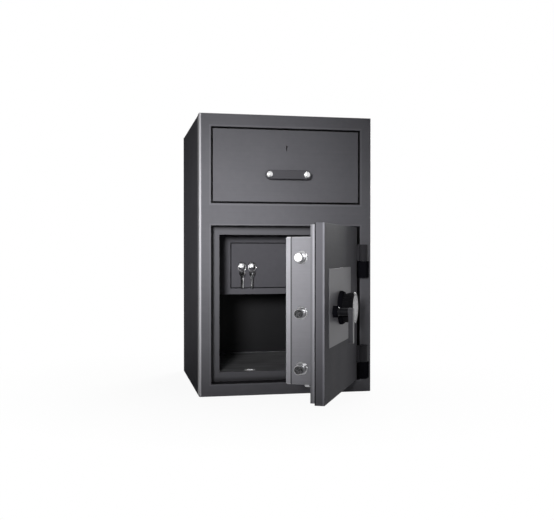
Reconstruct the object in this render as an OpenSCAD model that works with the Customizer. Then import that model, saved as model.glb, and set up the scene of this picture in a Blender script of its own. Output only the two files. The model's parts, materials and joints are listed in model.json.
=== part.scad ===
// Front-loading deposit safe: a pull-out deposit drawer over a door with a combination lock.
// Inside the lower chamber hangs a small two-key locker.
// Everything is drawn in front-corner coordinates (x right, y back, z up from the
// front left foot) and set down with the centre of the underside on the origin.
// Parts of the door are drawn as if it were shut and then swung open.

/* [Body] */
// Width of the body
body_w = 480; // [430:1:560]
// Depth of the body
body_d = 490; // [470:1:600]
// Height of the body
body_h = 762; // [690:1:900]
// Thickness of the outer plates
plate_t = 5; // [3:0.5:8]
// Side wall, outer face to the inside of the chamber
wall_t = 59; // [55:1:66]
// Back wall, outer face to the inside of the chamber
back_t = 40; // [30:1:60]
// Thickness of the chamber linings
liner_t = 4; // [2:0.5:6]
// Radius of the two front edges
edge_r = 3; // [1:0.5:5]

/* [Front frame] */
// Depth of the frame, and so of the rebates for the door and the drawer
frame_t = 36; // [35.5:0.5:42]
// Width of the upright at each side of the openings
stile_w = 33; // [28:1:36]
// Height of the rail under the door
bottom_rail = 34; // [30:1:40]
// Height of the rail over the drawer
top_rail = 36; // [30:1:44]
// Height of the rail between door and drawer
middle_rail = 62; // [55:1:80]
// Height of the drawer opening
drawer_open_h = 204; // [190:1:212]
// Step from each opening to the chamber behind it, above and below
lip_h = 26; // [22:1:28]
// Step from the top of the door's opening to the roof of the chamber
lip_top = 23; // [20:1:28]

/* [Door] */
// How far the door stands open, in degrees
door_angle = 62.4; // [0:0.1:110]
// Gap all round the door in its opening
door_gap = 3; // [2.8:0.1:4]
// Thickness of the outer door plate
door_plate_t = 23; // [18:0.5:24]
// Thickness of the second, slightly smaller plate
door_step_t = 11; // [6:0.5:12]
// How far the second plate is set in from the edge of the first
door_step_in = 4; // [2:0.5:8]
// Depth of the boltwork box behind the plates
box_d = 61; // [57:1:62]
// Depth of the pan that closes the box
cover_d = 15; // [11:0.5:16]
// Distance from the free edge of the door to the boltwork box
box_free = 67; // [64:1:70]
// Distance from the hinged edge of the door to the boltwork box
box_hinge = 32; // [30:1:45]
// Distance from the top of the door to the boltwork box
box_top = 31; // [28:1:45]
// Distance from the bottom of the door to the boltwork box
box_bottom = 35; // [33:1:45]
// Sheet of the boltwork box
box_t = 3; // [2:0.5:4]

/* [Bolts] */
// Diameter of the locking bolts
bolt_dia = 22; // [18:0.5:25]
// Distance from the bottom of the boltwork box to the lowest side bolt
bolt_low = 39.5; // [38:0.5:60]
// Distance from the top of the boltwork box to the highest side bolt
bolt_high = 49.5; // [40:0.5:60]
// How far the side bolts stand out of the box when drawn back
bolt_show = 33; // [20:1:34]
// Travel of the side bolts
bolt_throw = 26; // [20:1:28]
// How far the bottom bolt stands out of the box when drawn back
foot_show = 10.5; // [6:0.5:10.5]
// Travel of the bottom bolt
foot_throw = 14; // [8:1:14]
// Clearance round a bolt in its collars and keepers
bolt_fit = 0.5; // [0.3:0.1:0.8]
// Wall of the plated collars and keepers
collar_t = 4; // [3:0.5:5]

/* [Hinges] */
// Radius of the hinge knuckles
knuckle_r = 13.5; // [11:0.5:14]
// Length of one knuckle, half a hinge
knuckle_h = 46; // [35:1:50]
// Radius of the hinge pins
pin_r = 6; // [4:0.5:7]
// Running clearance of the pins
pin_fit = 0.05; // [0.03:0.01:0.1]
// Height of the lower hinge's bottom end above the bottom of the door
low_hinge_up = 2; // [1:1:20]
// Distance from the upper hinge's top end down from the top of the door
high_hinge_down = 47; // [30:1:80]

/* [Dial and handle] */
// Width of the faceplate
faceplate_w = 264; // [240:1:270]
// Height of the faceplate
faceplate_h = 186; // [150:1:200]
// Height of the dial above the middle of the door
dial_up = 4; // [0:1:10]
// Diameter of the fixed ring round the dial
ring_dia = 84; // [80:1:90]
// Diameter of the dial
dial_dia = 72; // [64:1:76]
// Height of the dial in front of its ring
dial_h = 27; // [20:1:32]
// Distance from the free edge of the door to the handle
handle_in = 92; // [91:1:96]
// Length of the handle from its hub to its end
lever_len = 75; // [70:1:100]
// Distance from the door to the back of the lever
lever_out = 39; // [30:1:46]
// Turn of the handle that throws the bolts, in degrees
handle_turn = 80; // [70:1:84]

/* [Drawer] */
// Gap all round the drawer front
drawer_gap = 3; // [2:0.5:4]
// Thickness of the drawer front
drawer_front_t = 20; // [12:1:30]
// Depth of the tray behind the front
tray_d = 300; // [260:1:320]
// How far the tray's floor falls from its front to its back
tray_fall = 70; // [40:1:80]
// Sheet of the tray
tray_t = 2.5; // [1.5:0.5:4]
// Distance between the two screws of the drawer handle
pull_pitch = 103; // [90:1:130]
// Width of the bar of the drawer handle
pull_w = 24; // [20:1:34]
// Height of the bar above the bottom of the drawer front
pull_up = 74; // [60:1:90]
// Distance from the keyhole down from the top of the drawer front
keyhole_down = 50; // [46:1:60]
// Finger room behind the bar
pull_room = 18; // [14:1:26]
// Thickness of the bar
pull_t = 6; // [4:0.5:8]

/* [Locker] */
// Distance from the face of the frame to the locker's face
locker_in = 155; // [152:1:170]
// Depth of the locker
locker_d = 170; // [150:1:175]
// Height of the locker
locker_h = 170; // [150:1:190]
// Sheet of the locker
locker_t = 3; // [2:0.5:4]
// Upright of the locker's face beside its door
locker_stile = 47; // [40:1:60]
// Rail of the locker's face under its door
locker_rail = 17; // [14:1:24]
// Rail of the locker's face over its door
locker_top_rail = 20; // [16:1:26]
// Gap round the locker's door
locker_gap = 1.5; // [1:0.25:2]
// Distance between the two locks
lock_pitch = 29; // [28:1:34]
// Diameter of a lock's front flange
lock_dia = 20; // [18:1:22]

/* [Hidden] */

// Distance of the anchor holes from the back of the chamber
anchor_in = 60;
// Depth of the shelf that the baffle hangs from
baffle_lip = 20;
// Height of the drawer's rails
runner_h = 24;
// Smoothness of round faces
fine = 64;
// Gap between pieces that touch but are made apart
seat = 0.2;
// How far a cutting shape runs past what it cuts
over = 1;

// Openings in the front
door_z0 = bottom_rail;
drawer_z1 = body_h - top_rail;
drawer_z0 = drawer_z1 - drawer_open_h;
door_z1 = drawer_z0 - middle_rail;
open_x0 = stile_w;
open_x1 = body_w - stile_w;

// The lower chamber and the hopper over it, inside their linings
room_x0 = wall_t;
room_x1 = body_w - wall_t;
room_y1 = body_d - back_t;
chamber_z0 = door_z0 + lip_h;
chamber_z1 = door_z1 - lip_top;
hopper_z0 = drawer_z0 + lip_h;
hopper_z1 = drawer_z1 - lip_h;
// How far the linings' front flanges spread behind the frame
flange_w = 20;
// The chute from the hopper down to the chamber
chute_x = 40;
chute_y1 = room_y1 - 8;
chute_y0 = drawer_front_t + tray_d + 6;

// The door, shut
leaf_x0 = open_x0 + door_gap;
leaf_x1 = open_x1 - door_gap;
leaf_z0 = door_z0 + door_gap;
leaf_z1 = door_z1 - door_gap;
leaf_zm = (leaf_z0 + leaf_z1) / 2;
step_y = door_plate_t;
box_y0 = door_plate_t + door_step_t;
box_y1 = box_y0 + box_d;
box_x0 = leaf_x0 + box_free;
box_x1 = leaf_x1 - box_hinge;
box_z0 = leaf_z0 + box_bottom;
box_z1 = leaf_z1 - box_top;
hinge_x = open_x1 + 5;
hinge_y = -knuckle_r - 0.5;
hinge_leaf_t = 8;
hinge_leaf_w = 20;

// The bolts and what moves them
handle_r = 7;
rose_h = 12.5;
hub_y = -rose_h - 0.5;
bolt_r = bolt_dia / 2;
bolt_depth = 37;
bolt_y = box_y0 + bolt_depth;
bolt_pitch = (box_z1 - box_z0 - bolt_low - bolt_high) / 2;
bolt_zm = box_z0 + bolt_low + bolt_pitch;
bar_in = 50;
bar_x0 = box_x0 + bar_in;
bar_w = 12;
bar_reach = bolt_pitch + 13;
foot_in = 45;
foot_x = box_x0 + foot_in;
foot_y = bolt_y - 7;
foot_top = box_z0 + 24;
foot_strap_h = 50;
foot_pin_x = foot_x + 15;
foot_pin_z = foot_top + foot_strap_h;
foot_strap_y = bolt_y + bolt_r + 1.5;
hub_x = leaf_x0 + handle_in;
hub_z = leaf_zm;
crank_r = bolt_throw / 2 / sin(handle_turn / 2);
crank_pin_r = 3;
crank_y = box_y0 + 5;
yoke_y = crank_y + 12;
slot_play = 0.8;

// Dial and lock
case_w = 86;
case_gap = 5;
dial_x = bar_x0 + bar_w + case_gap + case_w / 2;
dial_z = leaf_zm + dial_up;
ring_h = 10;
ring_floor = 5;
faceplate_t = 1.5;
spindle_r = 4;
case_h = 62;
case_d = 30;
case_wall = 5;
case_z1 = dial_z + case_h / 2;
lock_bolt_w = 12;
lock_bolt_t = 9;
lock_bolt_y = box_y0 + 12;
tab_z0 = case_z1 + 9;

// Drawer
front_x0 = open_x0 + drawer_gap;
front_x1 = open_x1 - drawer_gap;
front_z0 = drawer_z0 + drawer_gap;
front_z1 = drawer_z1 - drawer_gap;
tray_side = 11;
tray_x0 = room_x0 + tray_side;
tray_x1 = room_x1 - tray_side;
tray_z0 = hopper_z0 + 4;
tray_z1 = hopper_z1 - 14;
tray_y1 = drawer_front_t + tray_d;
runner_z = hopper_z0 + 22;
shoe_h = 8;
pull_z = front_z0 + pull_up;
pull_r = 9;
pull_foot_r = 8.5;
pull_drill_r = 3.2;
pull_front = -pull_room - pull_t;
keyhole_z = front_z1 - keyhole_down;
drawer_case_w = 50;
drawer_case_h = 34;
drawer_case_t = 13;

// Locker
lkr_x0 = room_x0 + seat;
lkr_x1 = room_x1 - seat;
lkr_z1 = chamber_z1 - seat;
lkr_z0 = lkr_z1 - locker_h;
lkr_y1 = locker_in + locker_d;
lid_x0 = lkr_x0 + locker_stile + locker_gap;
lid_x1 = lkr_x1 - locker_stile - locker_gap;
lid_z0 = lkr_z0 + locker_rail + locker_gap;
lid_z1 = lkr_z1 - locker_top_rail - locker_gap;
lkr_knuckle_r = 4;
lkr_pin_r = 2;
lkr_hinge_x = lid_x1 + locker_gap / 2;
lkr_hinge_y = locker_in - lkr_knuckle_r - 0.5;
lkr_knuckle_h = 18;
lock_in = 31.5;
lock_x = lid_x0 + lock_in;
lock_z = (lid_z0 + lid_z1) / 2;
lock_flange = 4;
plug_r = 5.5;
plug_fit = 0.1;
cam_y = locker_in + 16;
key_t = 2.2;
bow_r = 10;
ring_r = 11;
ring_wire = 1;

// Sets the body down with the centre of its underside on the origin
module placed() {
    translate([-body_w / 2, -body_d / 2, 0]) children();
}

// Swings what belongs to the door about the hinge pins
module swung() {
    placed()
        translate([hinge_x, hinge_y, 0]) rotate([0, 0, door_angle])
            translate([-hinge_x, -hinge_y, 0]) children();
}

// A block from its low corner to its high corner
module span(a, b) {
    translate(a) cube(b - a);
}

// A round bar along y, from y0 to y1
module bar_y(x, z, y0, y1, r) {
    translate([x, y0, z]) rotate([-90, 0, 0]) cylinder(r = r, h = y1 - y0, $fn = fine);
}

// A round bar along x, from x0 to x1
module bar_x(x0, x1, y, z, r) {
    translate([x0, y, z]) rotate([0, 90, 0]) cylinder(r = r, h = x1 - x0, $fn = fine);
}

// A round bar along z, from z0 to z1
module bar_z(x, y, z0, z1, r) {
    translate([x, y, z0]) cylinder(r = r, h = z1 - z0, $fn = fine);
}

// A flat outline with round corners, its low corner on the origin
module round_rect(w, h, r) {
    translate([r, 0]) square([w - 2 * r, h]);
    translate([0, r]) square([w, h - 2 * r]);
    for (x = [r, w - r], y = [r, h - r]) translate([x, y]) circle(r = r, $fn = fine);
}

// A plate facing the front, with round corners, from its low corner to its high corner
module face_plate(a, b, r) {
    translate([a[0], b[1], a[2]]) rotate([90, 0, 0])
        linear_extrude(b[1] - a[1]) round_rect(b[0] - a[0], b[2] - a[2], r);
}

// A lathe shape whose axis runs along y and whose profile is drawn from the door's face outwards
module turned_out(x, y, z) {
    translate([x, y, z]) rotate([90, 0, 0]) rotate_extrude($fn = fine) children();
}

// Body shell

// One plate bent over the left side, the top and the right side
module outer_wrap() {
    color("dimgray") placed()
        translate([0, body_d - plate_t, 0]) rotate([90, 0, 0])
            linear_extrude(body_d - plate_t - frame_t)
                difference() {
                    union() {
                        square([body_w, body_h - 2 * plate_t]);
                        translate([0, plate_t]) round_rect(body_w, body_h - plate_t, edge_r);
                    }
                    translate([plate_t, -over])
                        square([body_w - 2 * plate_t, body_h - plate_t + over]);
                }
}

// Rear pair of holes through the floor, for anchor bolts
anchor_r = 7;
anchor_pitch = 240;
anchor_y = room_y1 - anchor_in;
module anchor_drills() {
    for (x = [-1, 1])
        bar_z(body_w / 2 + x * anchor_pitch / 2, anchor_y, -over, chamber_z0 + over, anchor_r);
}

module base_plate() {
    color("dimgray") placed() difference() {
        span([plate_t, frame_t, 0], [body_w - plate_t, body_d - plate_t, plate_t]);
        anchor_drills();
    }
}

module back_plate() {
    color("dimgray") placed()
        span([0, body_d - plate_t, 0], [body_w, body_d, body_h]);
}

// The frame round both openings, with softened front edges
module front_frame() {
    color("dimgray") placed() difference() {
        linear_extrude(body_h) {
            translate([edge_r, 0]) square([body_w - 2 * edge_r, frame_t]);
            translate([0, edge_r]) square([body_w, frame_t - edge_r]);
            for (x = [edge_r, body_w - edge_r])
                translate([x, edge_r]) circle(r = edge_r, $fn = fine);
        }
        span([open_x0, -over, door_z0], [open_x1, frame_t + over, door_z1]);
        span([open_x0, -over, drawer_z0], [open_x1, frame_t + over, drawer_z1]);
        span([body_w / 2 - 5.6, 7.6, drawer_z1 - over], [body_w / 2 + 5.6, 16.6, drawer_z1 + 11]);
    }
}

// A lining: an open-fronted box with a flange behind the front frame
module lining(z0, z1) {
    difference() {
        union() {
            span([room_x0 - liner_t, frame_t, z0 - liner_t],
                 [room_x1 + liner_t, room_y1 + liner_t, z1 + liner_t]);
            span([room_x0 - liner_t - flange_w - stile_w / 3, frame_t, z0 - liner_t - flange_w - 6],
                 [room_x1 + liner_t + flange_w + stile_w / 3, frame_t + liner_t,
                  z1 + liner_t + flange_w + 6]);
        }
        span([room_x0, frame_t - over, z0], [room_x1, room_y1, z1]);
    }
}

module chute_drill() {
    span([room_x0 + chute_x, chute_y0, chamber_z1 - over],
         [room_x1 - chute_x, chute_y1, hopper_z0 + over]);
}

// Heights of the three side bolts
bolt_zs = [for (i = [-1, 0, 1]) bolt_zm + i * bolt_pitch];

module keeper_drills(r) {
    for (z = bolt_zs) bar_x(room_x0 - keeper_len, room_x0 + over, bolt_y, z, r);
}

keeper_r = bolt_r + bolt_fit + collar_t;
keeper_len = bolt_throw + 6;
foot_keeper_len = foot_throw + 4;

module floor_drill(r) {
    bar_z(foot_x, foot_y, chamber_z0 - foot_keeper_len, chamber_z0 + over, r);
}

module chamber_liner() {
    color("gray") placed() difference() {
        lining(chamber_z0, chamber_z1);
        chute_drill();
        anchor_drills();
        keeper_drills(keeper_r + seat / 2);
        floor_drill(keeper_r + seat / 2);
    }
}

module hopper_liner() {
    color("gray") placed() difference() {
        union() {
            lining(hopper_z0, hopper_z1);
            span([room_x0 + chute_x - liner_t, chute_y0 - liner_t, chamber_z1 + liner_t],
                 [room_x1 - chute_x + liner_t, chute_y1 + liner_t, hopper_z0]);
        }
        chute_drill();
    }
}

// Poured filling between the plates and the linings
module wall_fill() {
    fill_y0 = frame_t + liner_t + seat;
    fill_y1 = body_d - plate_t - seat;
    lining_y1 = room_y1 + liner_t + seat;
    side = room_x0 - liner_t - seat;
    floor_z = chamber_z0 - liner_t - seat;
    roof_z = hopper_z1 + liner_t + seat;
    color("lightgray") placed() {
        difference() {
            span([plate_t + seat, fill_y0, floor_z + seat], [side, fill_y1, roof_z - seat]);
            keeper_drills(keeper_r + seat);
        }
        span([body_w - side, fill_y0, floor_z + seat],
             [body_w - plate_t - seat, fill_y1, roof_z - seat]);
        difference() {
            span([plate_t + seat, fill_y0, plate_t + seat], [body_w - plate_t - seat, fill_y1, floor_z]);
            anchor_drills();
            floor_drill(keeper_r + seat);
        }
        span([plate_t + seat, fill_y0, roof_z],
             [body_w - plate_t - seat, fill_y1, body_h - plate_t - seat]);
        span([side + seat, lining_y1, floor_z + seat], [body_w - side - seat, fill_y1, roof_z - seat]);
        difference() {
            span([side + seat, fill_y0, chamber_z1 + liner_t + seat],
                 [body_w - side - seat, lining_y1 - seat, hopper_z0 - liner_t - seat]);
            span([room_x0 + chute_x - liner_t - seat, chute_y0 - liner_t - seat, chamber_z1],
                 [room_x1 - chute_x + liner_t + seat, chute_y1 + liner_t + seat, hopper_z0]);
        }
    }
}

// Plated cups in the left wall that the side bolts enter
module side_keepers() {
    color("silver") placed()
        for (z = bolt_zs) difference() {
            bar_x(room_x0 - keeper_len, room_x0, bolt_y, z, keeper_r);
            bar_x(room_x0 - keeper_len + collar_t, room_x0 + over, bolt_y, z, bolt_r + bolt_fit);
        }
}

// Plated cup in the floor for the bottom bolt, its rim a little proud
module floor_keeper() {
    color("gainsboro") placed() difference() {
        bar_z(foot_x, foot_y, chamber_z0 - foot_keeper_len, chamber_z0 + 0.6, keeper_r);
        bar_z(foot_x, foot_y, chamber_z0 - foot_keeper_len + 2, chamber_z0 + over, bolt_r + bolt_fit);
    }
}

// Hanging plate with a saw-toothed lower edge, so that nothing can be fished out
module anti_fish_baffle() {
    teeth = 16;
    baffle_h = 50;
    tooth_h = 10;
    x0 = tray_x0 + tray_t + 3;
    w = tray_x1 - tray_x0 - 2 * tray_t - 6;
    pitch = w / teeth;
    outline = concat([[0, 0], [0, -baffle_h]],
        [for (i = [0:teeth - 1], k = [0.5, 1])
            [(i + k) * pitch, -baffle_h - (k == 0.5 ? tooth_h : 0)]],
        [[w, 0]]);
    color("gray") placed()
        translate([x0, frame_t + liner_t + 10, hopper_z1]) rotate([90, 0, 0])
            linear_extrude(3) polygon(outline);
    color("gray") placed()
        span([x0, frame_t + liner_t + 10, hopper_z1 - 3],
             [x0 + w, frame_t + liner_t + 10 + baffle_lip, hopper_z1]);
}

// Angle rails on the hopper's side walls
module drawer_runners() {
    leg = 2.5;
    runner_y0 = frame_t + liner_t + 2;
    runner_y1 = room_y1 - 6;
    color("silver") placed()
        for (side = [0, 1])
            translate([side * body_w, 0, 0]) mirror([side, 0, 0]) {
                span([room_x0, runner_y0, runner_z], [room_x0 + leg, runner_y1, runner_z + runner_h]);
                span([room_x0, runner_y0, runner_z], [tray_x0 - 1, runner_y1, runner_z + leg]);
            }
}

// Hinges

hinge_ups = [low_hinge_up, leaf_z1 - leaf_z0 - high_hinge_down - 2 * knuckle_h];

// Lower knuckle of each hinge, welded to the frame
module body_hinges() {
    color("black") placed()
        for (up = hinge_ups) difference() {
            union() {
                bar_z(hinge_x, hinge_y, leaf_z0 + up, leaf_z0 + up + knuckle_h, knuckle_r);
                span([hinge_x, -hinge_leaf_t, leaf_z0 + up],
                     [hinge_x + hinge_leaf_w, 0, leaf_z0 + up + knuckle_h]);
            }
            bar_z(hinge_x, hinge_y, leaf_z0 + up + 4, leaf_z0 + up + knuckle_h + over, pin_r + 0.02);
        }
}

// Upper knuckle of each hinge, welded to the door
module door_hinges() {
    color("dimgray") swung()
        for (up = hinge_ups) {
            z0 = leaf_z0 + up + knuckle_h;
            z1 = z0 + knuckle_h;
            difference() {
                union() {
                    bar_z(hinge_x, hinge_y, z0 + 0.5, z1, knuckle_r);
                    span([hinge_x - hinge_leaf_w, -hinge_leaf_t, z0 + 0.5], [hinge_x, 0, z1]);
                }
                bar_z(hinge_x, hinge_y, z0 - over, z1 - 5, pin_r + pin_fit);
                span([leaf_x1 + 0.01, -hinge_leaf_t / 2, z0], [hinge_x + hinge_leaf_w, over, z1 + over]);
            }
        }
}

module hinge_pins() {
    color("silver") placed()
        for (up = hinge_ups)
            bar_z(hinge_x, hinge_y, leaf_z0 + up + 4, leaf_z0 + up + 2 * knuckle_h - 8, pin_r);
}

// Door

module door_plate() {
    color("dimgray") swung() difference() {
        linear_extrude_z(leaf_z0, leaf_z1) {
            translate([leaf_x0 + 2, 0]) square([leaf_x1 - leaf_x0 - 4, door_plate_t]);
            translate([leaf_x0, 2]) square([leaf_x1 - leaf_x0, door_plate_t - 2]);
            for (x = [leaf_x0 + 2, leaf_x1 - 2]) translate([x, 2]) circle(r = 2, $fn = fine);
        }
        door_drills();
    }
}

module linear_extrude_z(z0, z1) {
    translate([0, 0, z0]) linear_extrude(z1 - z0) children();
}

module door_drills() {
    bar_y(dial_x, dial_z, -over, box_y0 + over, spindle_r + 1);
    bar_y(hub_x, hub_z, -over, box_y0 + over, handle_r + pin_fit);
}

module door_step() {
    color("gray") swung() difference() {
        span([leaf_x0 + door_step_in, step_y, leaf_z0 + door_step_in],
             [leaf_x1 - door_step_in, box_y0, leaf_z1 - door_step_in]);
        door_drills();
    }
}

// Four-sided sheet box round the boltwork, with holes for the bolts
module boltwork_channel() {
    color("gray") swung() difference() {
        face_plate([box_x0, box_y0, box_z0], [box_x1, box_y1, box_z1], 5);
        face_plate([box_x0 + box_t, box_y0 - over, box_z0 + box_t],
            [box_x1 - box_t, box_y1 + over, box_z1 - box_t], 3);
        for (z = bolt_zs)
            bar_x(box_x0 - over, box_x0 + box_t + over, bolt_y, z, bolt_r + bolt_fit + 2);
        bar_z(foot_x, foot_y, box_z0 - over, box_z0 + box_t + over, bolt_r + bolt_fit + 2);
    }
}

// Shallow pan that closes the box, with a rounded rim
module boltwork_cover() {
    color("gray") swung() difference() {
        union() {
            face_plate([box_x0, box_y1, box_z0], [box_x1, box_y1 + cover_d - 2, box_z1], 5);
            face_plate([box_x0 + 2, box_y1, box_z0 + 2], [box_x1 - 2, box_y1 + cover_d, box_z1 - 2], 3);
        }
        face_plate([box_x0 + box_t, box_y1 - over, box_z0 + box_t],
            [box_x1 - box_t, box_y1 + cover_d - box_t, box_z1 - box_t], 3);
        for (p = screw_at)
            bar_y(p[0], p[1], box_y1 - over, box_y1 + cover_d + over, 3);
    }
}

// Places of the cover's screws, clear of all that slides in the box
screw_in = 16;
screw_at = [[box_x0 + screw_in, box_z1 - screw_in], [box_x1 - screw_in, box_z1 - screw_in],
    [box_x1 - screw_in, (box_z0 + box_z1) / 2], [box_x1 - screw_in, box_z0 + screw_in],
    [bar_x0 + bar_w + 12, box_z0 + screw_in]];

// Pan-head screws and the posts that they enter
module cover_screws() {
    color("silver") swung()
        for (p = screw_at) {
            bar_y(p[0], p[1], box_y1 + cover_d, box_y1 + cover_d + 2.5, 5);
            bar_y(p[0], p[1], box_y0, box_y1 + cover_d, 2.9);
        }
}

// Plated guide rings that the bolts slide through
module bolt_collars() {
    flange = 3;
    sleeve_r = bolt_r + bolt_fit + 1.9;
    color("silver") swung() {
        for (z = bolt_zs) difference() {
            union() {
                bar_x(box_x0 - flange, box_x0, bolt_y, z, bolt_r + bolt_fit + collar_t);
                bar_x(box_x0 - flange, box_x0 + 8, bolt_y, z, sleeve_r);
            }
            bar_x(box_x0 - flange - over, box_x0 + 9, bolt_y, z, bolt_r + bolt_fit);
        }
        difference() {
            union() {
                bar_z(foot_x, foot_y, box_z0 - flange + 1, box_z0, bolt_r + bolt_fit + collar_t);
                bar_z(foot_x, foot_y, box_z0 - flange + 1, box_z0 + box_t + 2, sleeve_r);
            }
            bar_z(foot_x, foot_y, box_z0 - flange - over, box_z0 + 9, bolt_r + bolt_fit);
        }
    }
}

module faceplate() {
    color("silver") swung() difference() {
        face_plate([dial_x - faceplate_w / 2, -faceplate_t, dial_z + 6 - faceplate_h / 2],
            [dial_x + faceplate_w / 2, 0, dial_z + 6 + faceplate_h / 2], 3);
        bar_y(dial_x, dial_z, -faceplate_t - over, over, ring_dia / 2 - 6);
        bar_y(hub_x, hub_z, -faceplate_t - over, over, handle_r + 2);
    }
}

// Dial and combination lock

// Fixed ring with a bevelled rim and the opening mark
module dial_ring() {
    r = ring_dia / 2;
    color("black") swung() difference() {
        turned_out(dial_x, -faceplate_t, dial_z)
            polygon([[6, 0], [r, 0], [r, 4], [r - 3, ring_h], [dial_dia / 2 + 1, ring_h],
                     [dial_dia / 2 + 1, ring_floor], [6, ring_floor]]);
        translate([dial_x, -faceplate_t - ring_h, dial_z + r - 4.5])
            rotate([-90, 0, 0]) cylinder(r = 1.2, h = 1.5, $fn = fine);
    }
}

dial_back = -faceplate_t - ring_floor - 0.5;
dial_front = -faceplate_t - ring_h - dial_h - 0.5;

// The turning dial: fluted, and flaring from its ring to its front
module dial_knob() {
    r = dial_dia / 2;
    flutes = 36;
    flute_r = 2;
    flare = 2.5;
    foot = 6;
    depth = dial_back - dial_front;
    tilt = atan2(flare, depth - foot);
    color("black") swung() difference() {
        turned_out(dial_x, dial_back, dial_z)
            polygon([[spindle_r + 0.1, 0], [r - 1, 0], [r, foot], [r + flare, depth - 2],
                     [r + flare - 1.3, depth], [r + 0.1, depth], [r + 0.1, depth - 2],
                     [spindle_r + 0.1, depth - 2]]);
        for (i = [0:flutes - 1])
            translate([dial_x, 0, dial_z]) rotate([0, i * 360 / flutes, 0])
                translate([r + flare + flute_r / 2, dial_front, 0]) rotate([0, 0, tilt])
                    bar_y(0, 0, -over, depth - foot, flute_r);
    }
}

// Bright disc set into the front of the dial
module dial_face() {
    color("silver") swung()
        bar_y(dial_x, dial_z, dial_front + 0.3, dial_front + 2, dial_dia / 2);
}

module dial_spindle() {
    color("goldenrod") swung()
        bar_y(dial_x, dial_z, dial_front + 2.2, box_y0 + case_d - 4, spindle_r);
}

// Case of the combination lock, open at the back for its cover
module lock_case() {
    color("goldenrod") swung() difference() {
        span([dial_x - case_w / 2, box_y0, dial_z - case_h / 2],
             [dial_x + case_w / 2, box_y0 + case_d, case_z1]);
        span([dial_x - case_w / 2 + case_wall, box_y0 + case_wall, dial_z - case_h / 2 + case_wall],
             [dial_x + case_w / 2 - case_wall, box_y0 + case_d + over, case_z1 - case_wall]);
        bar_y(dial_x, dial_z, box_y0 - over, box_y0 + case_wall + over, spindle_r + 1);
        span([dial_x - lock_bolt_w / 2 - 0.4, lock_bolt_y - 0.4, case_z1 - case_wall - over],
             [dial_x + lock_bolt_w / 2 + 0.4, lock_bolt_y + lock_bolt_t + 0.4, case_z1 + over]);
    }
}

module lock_cover() {
    color("goldenrod") swung()
        span([dial_x - case_w / 2, box_y0 + case_d, dial_z - case_h / 2],
             [dial_x + case_w / 2, box_y0 + case_d + 3, case_z1]);
}

// Cam on the end of the spindle, with the notch that the lever drops into
module drive_cam() {
    color("khaki") swung() difference() {
        bar_y(dial_x, dial_z, box_y0 + case_wall + 0.5, box_y0 + case_wall + 4.5, 16);
        bar_y(dial_x, dial_z, box_y0, box_y0 + case_d, spindle_r + 0.05);
        translate([dial_x, 0, dial_z]) rotate([0, 35, 0])
            span([-2.5, box_y0, 10], [2.5, box_y0 + case_d, 20]);
    }
}

// Three wheels, each with its gate
module wheel_pack() {
    wheel_r = 19;
    wheel_t = 3.5;
    color("khaki") swung()
        for (i = [0:2]) difference() {
            y0 = box_y0 + case_wall + 6 + i * (wheel_t + 1.5);
            bar_y(dial_x, dial_z, y0, y0 + wheel_t, wheel_r);
            bar_y(dial_x, dial_z, box_y0, box_y0 + case_d, spindle_r + 0.05);
            translate([dial_x, 0, dial_z]) rotate([0, 50 + i * 70, 0])
                span([-2.5, box_y0, wheel_r - 6], [2.5, box_y0 + case_d, wheel_r + 3]);
        }
}

// Bolt of the combination lock, drawn back
module lock_bolt() {
    color("khaki") swung()
        span([dial_x - lock_bolt_w / 2, lock_bolt_y, dial_z + 20.5],
             [dial_x + lock_bolt_w / 2, lock_bolt_y + lock_bolt_t, case_z1 + 6]);
}

// Handle and boltwork

module handle_rose() {
    bore = handle_r + pin_fit;
    color("black") swung()
        turned_out(hub_x, 0, hub_z)
            polygon([[bore, 0], [bore + 1.8, 0], [bore + 1.8, faceplate_t], [2 * bore, faceplate_t],
                     [2 * bore, rose_h - 2], [2 * bore - 2, rose_h], [bore, rose_h]]);
}

// Lever on its neck: a tapered blade that hangs from the hub
module handle_lever() {
    color("gray") swung() {
        turned_out(hub_x, hub_y, hub_z)
            polygon([[0, 0], [11, 0], [9, 4], [9, lever_out + hub_y], [0, lever_out + hub_y]]);
        translate([hub_x, -lever_out, hub_z]) rotate([90, 0, 0]) linear_extrude(11) {
            circle(r = 10, $fn = fine);
            translate([0, 8 - lever_len]) circle(r = 8, $fn = fine);
            polygon([[-10, 0], [10, 0], [8, 8 - lever_len], [-8, 8 - lever_len]]);
        }
    }
}

module handle_spindle() {
    color("silver") swung()
        bar_y(hub_x, hub_z, hub_y, crank_y, handle_r);
}

// Crank on the spindle; its pin works in the yoke of the carriage
module bolt_crank() {
    a = handle_turn / 2;
    color("silver") swung() {
        bar_y(hub_x, hub_z, crank_y, crank_y + 7, 9);
        translate([hub_x, crank_y + 7, hub_z]) rotate([90, 0, 0]) rotate([0, 0, -90 + a])
            linear_extrude(7) {
                translate([0, -6]) square([crank_r, 12]);
                translate([crank_r, 0]) circle(r = 6, $fn = fine);
            }
        bar_y(hub_x + crank_r * sin(a), hub_z - crank_r * cos(a), crank_y + 7, yoke_y + 8, crank_pin_r);
    }
}

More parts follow.
